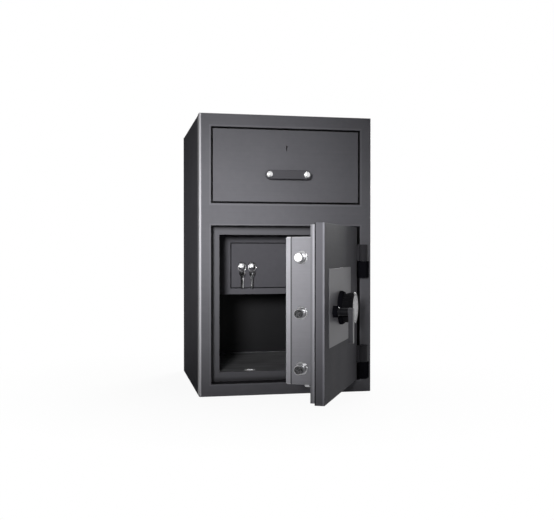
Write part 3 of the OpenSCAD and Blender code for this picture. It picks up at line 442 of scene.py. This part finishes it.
# Boltwork box: a folded channel and its screwed cover on the second plate. They have a mid grey
# coat, as the inner parts of a door are sprayed apart from its face. The cover and the step take
# paler copies of the grey as painted light, and the cover's seam, the channel's foot and the
# inner half of the step are painted darker as shade.
box_grey = (0.215, 0.213, 0.232)
cover_front = reach_of("boltwork_cover", inward)[0]
step_front, step_back = reach_of("door_step", inward)
cover_seam_depth, channel_foot_depth = 0.0034, 0.0022
step_split = (step_front + step_back) / 2 + 0.0004


# Painted shade in the seam at the cover's front.
def cover_seam_shade(coat):
    return coat.under(coat.along(inward, hinge), cover_front + cover_seam_depth)


# Painted shade along the channel's foot at the step.
def channel_foot_shade(coat):
    return coat.under(coat.along(inward, hinge), step_back + channel_foot_depth)


# Painted shade on the step's inner half; its outer half stays paler as a highlight.
def step_shaded_half(coat):
    return coat.over(coat.along(inward, hinge), step_split)


# level lifts the grey as painted light on pieces that catch more of the lamp, and the zone's
# level paints shade.
def box_coat(name, level, edge, wear_and_highlight, zone, zone_level, wiped=0):
    return powder_coat(name, shade(box_grey, level), gloss=0.42, peel=0.00005, edge=edge,
                       wear_and_highlight=wear_and_highlight, shine=0.3, turn=door_turn,
                       zones=((zone, shade(box_grey, zone_level)),), wiped=wiped)


dress(box_coat("channel_coat", level=1, edge=0.0015, wear_and_highlight=1.0, zone=channel_foot_shade,
               zone_level=0.45, wiped=0.12), "boltwork_channel")
dress(box_coat("cover_coat", level=1.6, edge=0.003, wear_and_highlight=1.6, zone=cover_seam_shade,
               zone_level=0.35), "boltwork_cover")
dress(box_coat("step_coat", level=1.75, edge=0.002, wear_and_highlight=1.5, zone=step_shaded_half,
               zone_level=1.05), "door_step")


# Bolts, rods and carriage: turned and ground steel. Fine rings run round each bar under a thin
# film of oil that clouds the gloss. The top bolt's end is painted bright and the ends of the two
# below it near black in mottled patches, painted reflections on bolts of one steel.
def turned_steel(name, colour, gloss, turn, stretch, tip=None):
    """stretch is small along the lines of the grinding; tip is the two tones of a bolt's end, a
    painted reflection.
    """
    steel = Finish(name, {"Metallic": 1.0, "Specular IOR Level": 0.5})
    squared = steel.node("ShaderNodeMapping", {"vector_type": "TEXTURE"},
                         {"Vector": steel.place(), "Rotation": (0, 0, turn)})
    stretched = steel.vectors("MULTIPLY", squared, stretch)
    rings = steel.noise(scale=900, detail=2, where=stretched)
    film = steel.noise(scale=60, detail=4)
    base = steel.blend(film, shade(colour, 0.8), colour)
    if tip:
        spots = steel.spread(steel.noise(scale=330, detail=2), *spot_contrast)
        smear = steel.blend(spots, *tip)
        base = steel.blend(steel.under(steel.along(across, hinge), bolt_tip), base, smear)
    steel.feed("Base Color", base)
    steel.feed("Roughness", steel.spread(film * 0.6 + rings * 0.4, gloss - 0.08, gloss + 0.1))
    steel.bump(rings, depth=0.00002, radius=0.0008)
    return steel.material


bolt_tip = reach_of("locking_bolt_middle", across)[0] + 0.0004
sideways_bar, upright_bar, milled = (1, 0.02, 0.02), (0.02, 0.02, 1), (0.05, 1, 1)
# Painted reflections on the bolts' ends: bright on the top one, near black on the two below.
bright_reflection_tip = ((0.8, 0.8, 0.81), (0.95, 0.95, 0.96))
dark_reflection_tip = ((0.002, 0.002, 0.002), (0.085, 0.085, 0.088))
spot_contrast = (-0.9, 1.9)
dress(turned_steel("ground_bolt_steel", (0.42, 0.42, 0.43), gloss=0.26, turn=door_turn,
                   stretch=sideways_bar, tip=bright_reflection_tip), "locking_bolt_top")
dress(turned_steel("dark_ended_bolt_steel", (0.5, 0.5, 0.51), gloss=0.3, turn=door_turn,
                   stretch=sideways_bar, tip=dark_reflection_tip),
      "locking_bolt_middle", "locking_bolt_bottom")
dress(turned_steel("ground_foot_bolt_steel", (0.36, 0.36, 0.37), gloss=0.25, turn=door_turn,
                   stretch=upright_bar), "bottom_bolt")
dress(turned_steel("milled_steel", (0.55, 0.55, 0.56), gloss=0.34, turn=door_turn,
                   stretch=milled),
      "bolt_carriage", "bolt_crank", "handle_spindle", "drawer_bolt", "drawer_runners")
dress(turned_steel("pin_steel", (0.6, 0.6, 0.61), gloss=0.28, turn=0, stretch=upright_bar),
      "hinge_pins")


# Plated pieces: bright nickel on the pull's screws and the locker's locks, a darker copy of the
# nickel on the bolts' guide rings as painted shade, and dull zinc on the cups that the bolts
# enter. Nickel shows where it was wiped, and zinc its spangle.
def mottled(name, constants, patch, paints, gloss, gloss_patch=None, depth=0, edge=0.0006,
            dents=None):
    """Two close tones in soft patches. A patch is a noise's scale and detail, and its stretch and
    roughness where it has them. The gloss and the dents follow the tones where they have no
    patch of their own."""
    finish = Finish(name, constants)
    tones = finish.noise(*patch)
    finish.feed("Base Color", finish.blend(tones, *paints))
    clouds = finish.noise(*gloss_patch) if gloss_patch else tones
    finish.feed("Roughness", finish.spread(clouds, *gloss))
    if depth:
        finish.bump(finish.noise(*dents) if dents else tones, depth, edge)
    return finish.material


dress(mottled("nickel_plate", {"Metallic": 1.0}, patch=(45, 4),
              paints=((0.62, 0.62, 0.63), (0.8, 0.8, 0.81)), gloss=(0.1, 0.24),
              depth=0.00001, dents=(500, 2)), "pull_screws", "locker_lock_shells")
dress(mottled("shaded_collar_plate", {"Metallic": 1.0}, patch=(60, 4),
              paints=((0.1, 0.1, 0.105), (0.4, 0.4, 0.41)), gloss=(0.2, 0.34),
              depth=0.00001, dents=(500, 2)), "bolt_collars")
dress(mottled("dull_zinc", {"Specular IOR Level": 0.5}, patch=(160, 3),
              paints=((0.7, 0.7, 0.7), (0.85, 0.85, 0.86)), gloss=(0.25, 0.45),
              depth=0.00002), "side_keepers", "floor_keeper")


# Screws of the box's cover: steel pan heads, which keep the frame's plain steel. Each has a
# thin near black cross laid on its top, painted shade that stands in for a cross recess.
def skirt(mesh, first, second):
    """A band of faces between two closed rims."""
    for here in range(len(first)):
        after = here + 1 - len(first)
        mesh.faces.new((first[here], first[after], second[after], second[here]))


def slab(mesh, corners, middle, right, top, out, low, high):
    """A flat shape, its corners given from its middle, that stands from low to high."""
    rims = [[mesh.verts.new(middle + right * a + top * b + out * lift) for a, b in corners]
            for lift in (low, high)]
    mesh.faces.new(rims[1])
    mesh.faces.new(rims[0][::-1])
    skirt(mesh, *rims)


def piece(name, mesh, material, body):
    bmesh.ops.recalc_face_normals(mesh, faces=mesh.faces)
    made = bpy.data.meshes.new(name)
    mesh.to_mesh(made)
    mesh.free()
    made.materials.append(material)
    thing = bpy.data.objects.new(name, made)
    bpy.context.scene.collection.objects.link(thing)
    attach(thing, body)


arm, half = 0.0022, 0.0005
cross = [(arm, half), (half, half), (half, arm), (-half, arm), (-half, half), (-arm, half),
         (-arm, -half), (-half, -half), (-half, -arm), (half, -arm), (half, -half), (arm, -half)]
head_top = reach_of("cover_screws", inward)[1]
head_width, head_flatness = 0.012, 0.0002
first_lean, next_lean = 0.4, 0.7
recess_low, recess_high = -0.00005, 0.00008
heads = []
for vertex in nodes["cover_screws"].data.vertices:
    if (vertex.co - hinge).dot(inward) > head_top - head_flatness:
        near = [head for head in heads if (head[0] - vertex.co).length < head_width]
        if near:
            near[0].append(vertex.co.copy())
        else:
            heads.append([vertex.co.copy()])
cross_shades = bmesh.new()
for number, head in enumerate(heads):
    low = Vector(min(point[axis] for point in head) for axis in range(3))
    high = Vector(max(point[axis] for point in head) for axis in range(3))
    lean = first_lean + next_lean * number
    slab(cross_shades, cross, (low + high) / 2, across * math.cos(lean) + up * math.sin(lean),
         up * math.cos(lean) - across * math.sin(lean), inward, recess_low, recess_high)
# Near black: painted shade in place of the recesses' dark.
cross_shade_paint = mottled("cross_shade_paint", {"Specular IOR Level": 0.2}, patch=(900, 2),
                      paints=((0.01, 0.01, 0.01), (0.03, 0.03, 0.03)), gloss=(0.5, 0.7),
                      gloss_patch=(500, 2))
piece("screw_cross_shades", cross_shades, cross_shade_paint, "door")

# Faceplate: lacquered grey sheet with an upright grain, clamped to the door under the dial's
# ring and the handle's rose.
dress(mottled("faceplate_sheet", {"Specular IOR Level": 0.05}, patch=(30, 3, (60, 60, 1)),
              paints=((0.125, 0.123, 0.134), (0.205, 0.203, 0.219)), gloss=(0.3, 0.42),
              depth=0.00002, edge=0.0005), "faceplate")

# Handle, dial ring, hinges and pull: cast and bent metal. The rose, the ring and the fixed
# knuckles have a satin black coat, and the moving knuckles a paler one. The lever and the
# drawer's pull are grey. The lever's corners are a little paler, from hands and as a painted
# highlight, and the pull's rounded rim is painted dark as shade.
satin_black = (0.006, 0.006, 0.008)
black_coat = powder_coat("black_coat", satin_black, gloss=0.36, peel=0.00003, edge=0.001, wear_and_highlight=0.5,
                         shine=0)
dress(black_coat, "handle_rose", "dial_ring", "body_hinges")
hinge_coat = powder_coat("hinge_coat", (0.03, 0.0295, 0.033), gloss=0.45, peel=0.00005,
                         edge=0.0015, wear_and_highlight=0.8)
dress(hinge_coat, "door_hinges")
lever_grey = (0.062, 0.061, 0.068)
lever_thickness = 0.0125
neck_start = reach_of("handle_lever", inward)[0] + lever_thickness
pull_rim_width, pull_rim_darkness = 0.0028, 3.2


def lever_neck(coat):
    return coat.over(coat.along(inward, hinge), neck_start)


# Painted shade round the pull's rounded rim.
def pull_rim_shade(coat):
    return coat.on_corner(pull_rim_width, turn=0) * pull_rim_darkness


dress(powder_coat("lever_coat", shade(lever_grey, 1.2), gloss=0.36, peel=0.00003, edge=0.0015,
                  wear_and_highlight=0.5, shine=0.1, zones=((lever_neck, satin_black),)), "handle_lever")
dress(powder_coat("handle_coat", shade(lever_grey, 0.92), gloss=0.36, peel=0.00003, edge=0.0015,
                  wear_and_highlight=0, shine=0.1, turn=0, zones=((pull_rim_shade, shade(lever_grey, 0.2)),)),
      "drawer_pull")


# Welds: each fixed knuckle's leaf is welded to the frame, and each moving one to the door. The
# bead lies along the leaf's free edge in overlapping scales, under the knuckle's own coat.
def weld_bead(mesh, foot, rise, off_face, off_leaf):
    """A quarter round in the corner of a face and a leaf, with four rows to a scale."""
    radius, scale, lag_depth, tuck, arc_points = 0.0024, 0.0042, 0.0009, 0.0003, 7
    valley, crest, end = 0.78, 0.22, 0.5
    step = rise.normalized()
    rows = 4 * round(rise.length / scale)
    rims = []
    for row in range(rows + 1):
        swell = radius * (valley + crest * math.sin(math.pi * (row % 4) / 4))
        if row in (0, rows):
            swell *= end
        middle = foot + step * (rise.length * row / rows)
        rim = []
        for part in range(arc_points):
            turn = math.pi / 2 * (part / (arc_points - 1))
            lag = step * (lag_depth * math.sin(2 * turn))
            rim.append(mesh.verts.new(middle + lag + off_face * (swell * math.sin(turn))
                                      + off_leaf * (swell * math.cos(turn))))
        rim.append(mesh.verts.new(middle - off_face * tuck - off_leaf * tuck))
        rims.append(rim)
    for first, second in zip(rims, rims[1:]):
        skirt(mesh, first, second)
    mesh.faces.new(rims[0])
    mesh.faces.new(rims[-1][::-1])


knuckle, knuckle_gap, bead_inset = 0.046, 0.0005, 0.002
bead_rise = up * (knuckle - 2 * bead_inset)
body_low, body_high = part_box("body_hinges")
frame_welds, door_welds = bmesh.new(), bmesh.new()
for foot_z in (body_low.z, body_high.z - knuckle):
    weld_bead(frame_welds, Vector((body_high.x, frame_low.y, foot_z + bead_inset)), bead_rise,
              Vector((0, -1, 0)), Vector((1, 0, 0)))
leaf_corner = hinge + across * reach_of("door_hinges", across)[0] + inward * plate_front
for foot_z in (body_low.z + knuckle + knuckle_gap, body_high.z + knuckle_gap):
    weld_bead(door_welds, leaf_corner + up * (foot_z - hinge.z + bead_inset), bead_rise,
              outward, -across)
piece("frame_welds", frame_welds, black_coat, "safe")
piece("door_welds", door_welds, hinge_coat, "door")

# Dial: moulded black knob with a fluted grip, and a spun aluminium disc pressed into its front.
# The disc shows the fine circles that the spinning left.
dress(mottled("dial_black", {"Specular IOR Level": 0.04}, patch=(80, 3),
              paints=((0.005, 0.005, 0.006), (0.014, 0.014, 0.016)), gloss=(0.22, 0.38),
              gloss_patch=(200, 3), depth=0.00001, edge=0.0005, dents=(1500, 1)), "dial_knob")
spun = Finish("spun_aluminium", {"Metallic": 0.35, "Specular IOR Level": 0.2})
dial_low, dial_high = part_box("dial_face")
off_middle = spun.vectors("SUBTRACT", spun.place(), tuple((dial_low + dial_high) / 2))
spun_radius = spun.vectors("LENGTH", off_middle, out="Value")
circles = spun.node("ShaderNodeTexNoise", {"noise_dimensions": "1D"},
                    {"W": spun_radius, "Scale": 4000.0, "Detail": 2.0})
spun.feed("Base Color", spun.blend(circles, (0.25, 0.25, 0.26), (0.36, 0.36, 0.375)))
spun.feed("Roughness", spun.spread(circles, 0.3, 0.42))
spun.bump(circles, depth=0.00002, radius=0.0005)
dress(spun.material, "dial_face")

# Dial marks: a hundred lines and the numbers of the tens, printed black on the disc, and a
# white drop of paint in the ring's hole as the point to read them at.
dial_joint = next(joint for joint in frame["joints"] if joint["name"] == "dial_turn")
dial_centre = Vector(dial_joint["pos_m"])
print_gap, print_height = 0.00003, 0.00007
line_step, numeral_step = 3.6, 36
marks = bmesh.new()


def front_of(name):
    """How far a node reaches out of the door from the dial's centre."""
    return max((vertex.co - dial_centre).dot(outward) for vertex in nodes[name].data.vertices)


def dial_sides(turn):
    """The directions to the right and to the top of a mark, at its turn round the disc."""
    return (across * math.cos(turn) - up * math.sin(turn),
            across * math.sin(turn) + up * math.cos(turn))


disc_middle = dial_centre + outward * (front_of("dial_face") + print_gap)
line_end, numeral_foot, numeral_size = 0.0345, 0.0215, 0.0078
for line in range(100):
    length = 0.0058 if line % 10 == 0 else 0.0044 if line % 5 == 0 else 0.003
    half = 0.00035 if line % 10 == 0 else 0.00022
    right, top = dial_sides(math.radians(line_step * line))
    slab(marks, [(-half, line_end - length), (half, line_end - length), (half, line_end),
                 (-half, line_end)], disc_middle, right, top, outward, 0, print_height)
for ten in range(10):
    words = bpy.data.curves.new("numeral", "FONT")
    words.body = str(10 * ten)
    words.align_x = "CENTER"
    words.size = numeral_size
    words.resolution_u = 3
    holder = bpy.data.objects.new("numeral", words)
    flat = holder.to_mesh()
    right, top = dial_sides(math.radians(numeral_step * ten))
    corners = [marks.verts.new(disc_middle + right * vertex.co.x
                               + top * (vertex.co.y + numeral_foot) + outward * print_height)
               for vertex in flat.vertices]
    for face in flat.polygons:
        marks.faces.new([corners[corner] for corner in face.vertices])
    holder.to_mesh_clear()
    bpy.data.objects.remove(holder)
    bpy.data.curves.remove(words)
printing_ink = mottled("printing_ink", {"Specular IOR Level": 0.3}, patch=(1200, 2),
                       paints=((0.008, 0.008, 0.008), (0.02, 0.02, 0.02)), gloss=(0.4, 0.6),
                       gloss_patch=(700, 2))
piece("dial_marks", marks, printing_ink, "dial")

drop = bmesh.new()
ring_radius, hole_inset, hole_depth, drop_points = 0.042, 0.0045, 0.0013, 20
hole_up = ring_radius - hole_inset
drop_foot = dial_centre + outward * (front_of("dial_ring") - hole_depth) + up * hole_up
drop_profile = [(0.0011, 0), (0.0011, 0.00055), (0.00095, 0.00085), (0.0006, 0.00105),
                (0.00025, 0.00112)]
turns = [math.tau * point / drop_points for point in range(drop_points)]
rings = [[drop.verts.new(drop_foot
                         + (across * math.cos(turn) + up * math.sin(turn)) * wide
                         + outward * rise) for turn in turns]
         for wide, rise in drop_profile]
for first, second in zip(rings, rings[1:]):
    skirt(drop, first, second)
drop.faces.new(rings[-1])
drop.faces.new(rings[0][::-1])
index_paint = mottled("index_paint", {"Specular IOR Level": 0.4}, patch=(800, 2),
                      paints=((0.7, 0.7, 0.68), (0.8, 0.8, 0.78)), gloss=(0.3, 0.5),
                      gloss_patch=(600, 2))
piece("dial_index", drop, index_paint, "door")

# Lock: machined brass case, cover, wheels, spindle and bolt, tarnished in patches. The lever
# lock of the drawer is brass too.
dress(mottled("machined_brass", {"Metallic": 1.0}, patch=(70, 5),
              paints=((0.42, 0.31, 0.14), (0.68, 0.53, 0.27)), gloss=(0.24, 0.42),
              depth=0.00002, dents=(1300, 2)),
      "lock_case", "lock_cover", "dial_spindle", "drive_cam", "wheel_pack", "lock_bolt",
      "drawer_lock")

# Drawer shoes: moulded natural nylon, fixed along the tray's sides to ride on the steel rails.
# It is a little waxy, with cloudy patches and fine pits.
dress(mottled("nylon", {"Subsurface Weight": 0.1}, patch=(50, 3),
              paints=((0.62, 0.6, 0.54), (0.74, 0.72, 0.66)), gloss=(0.4, 0.55),
              gloss_patch=(90, 3), depth=0.00003, dents=(600, 2)), "drawer_slides")

# Keys, plugs and rings: stamped and turned nickel silver with fine upright scratches. The plugs
# and their cams sit in the locker's locks, and the rings are bent wire.
dress(mottled("key_metal", {"Metallic": 1.0}, patch=(4, 4, (400, 400, 20), 0.7),
              paints=((0.42, 0.42, 0.43), (0.72, 0.72, 0.73)), gloss=(0.16, 0.34),
              depth=0.00003, edge=0.0004),
      "left_key", "right_key", "left_spare_key", "right_spare_key",
      "left_plug", "right_plug", "left_key_ring", "right_key_ring")


# Floor and surround: a wide pale floor that keeps the safe's shadow near its foot and runs out
# into a white surround. Both are white to the camera and in mirrors, and light the safe little.
def seen_rays(graph):
    """1 for what the camera, a mirror or glass sees, 0 for what lights the object."""
    direct = graph.node("ShaderNodeLightPath", {}, {}, "Is Camera Ray")
    seen = graph.math("ADD", direct, direct.beside("Is Glossy Ray"), clamp=True)
    return graph.math("ADD", seen, direct.beside("Is Transmission Ray"), clamp=True)


half_width = 12
shadow_near, shadow_far, foot_white = 0.28, 0.9, 0.94
fill_light = 0.1
floor_mesh = bpy.data.meshes.new("floor")
floor_mesh.from_pydata([(-half_width, -half_width, 0), (half_width, -half_width, 0),
                        (half_width, half_width, 0), (-half_width, half_width, 0)],
                       [], [(0, 1, 2, 3)])
floor = bpy.data.objects.new("floor", floor_mesh)
bpy.context.scene.collection.objects.link(floor)
pale = Finish("floor_paint", {"Base Color": (0.45, 0.45, 0.45, 1), "Roughness": 0.9,
                              "Specular IOR Level": 0.1})
away = pale.vectors("LENGTH", pale.place(), out="Value")
fade = pale.node("ShaderNodeMapRange", {}, {"Value": away, "From Min": shadow_near,
                                            "From Max": shadow_far, "To Min": foot_white,
                                            "To Max": 1.0})
lit = Wire(pale, pale.shader.outputs["BSDF"])
glow = pale.node("ShaderNodeEmission", {}, {})
mixed = pale.node("ShaderNodeMixShader", {}, {0: fade * seen_rays(pale), 1: lit, 2: glow})
pale.tree.links.new(mixed.socket, pale.tree.nodes["Material Output"].inputs["Surface"])
floor_mesh.materials.append(pale.material)

world = bpy.data.worlds.new("surround")
bpy.context.scene.world = world
world.use_nodes = True
sky = Graph(world.node_tree)
background = sky.tree.nodes["Background"]
background.inputs["Color"].default_value = (1, 1, 1, 1)
strength = sky.spread(seen_rays(sky), fill_light, 1.0)
sky.tree.links.new(strength.socket, background.inputs["Strength"])


# Lamps: a soft spot in front on the left, where the photograph's shadows put it, and weak soft
# lamps overhead and behind for the other sides.
def aim(name, kind, place, target, watts):
    lamp = bpy.data.objects.new(name, bpy.data.lights.new(name, kind))
    lamp.data.energy = watts
    lamp.location = place
    lamp.rotation_euler = (Vector(target) - Vector(place)).to_track_quat("-Z", "Y").to_euler()
    bpy.context.scene.collection.objects.link(lamp)
    return lamp.data


key = aim("key_lamp", "SPOT", (-1.06, -2.96, 0.75), (-0.085, 0, 0.435), 575)
key.spot_size = math.radians(18.8)
key.spot_blend = 1.0
key.shadow_soft_size = 0.26
for name, place, target, width, height, watts in (
        ("top_lamp", (0.2, 0.6, 2.6), (0, 0, 0.6), 1.6, 1.6, 40),
        ("rear_lamp", (1.5, 2.4, 1.4), (0.1, 0.1, 0.4), 1.4, 1.8, 190)):
    soft = aim(name, "AREA", place, target, watts)
    soft.shape = "RECTANGLE"
    soft.size = width
    soft.size_y = height
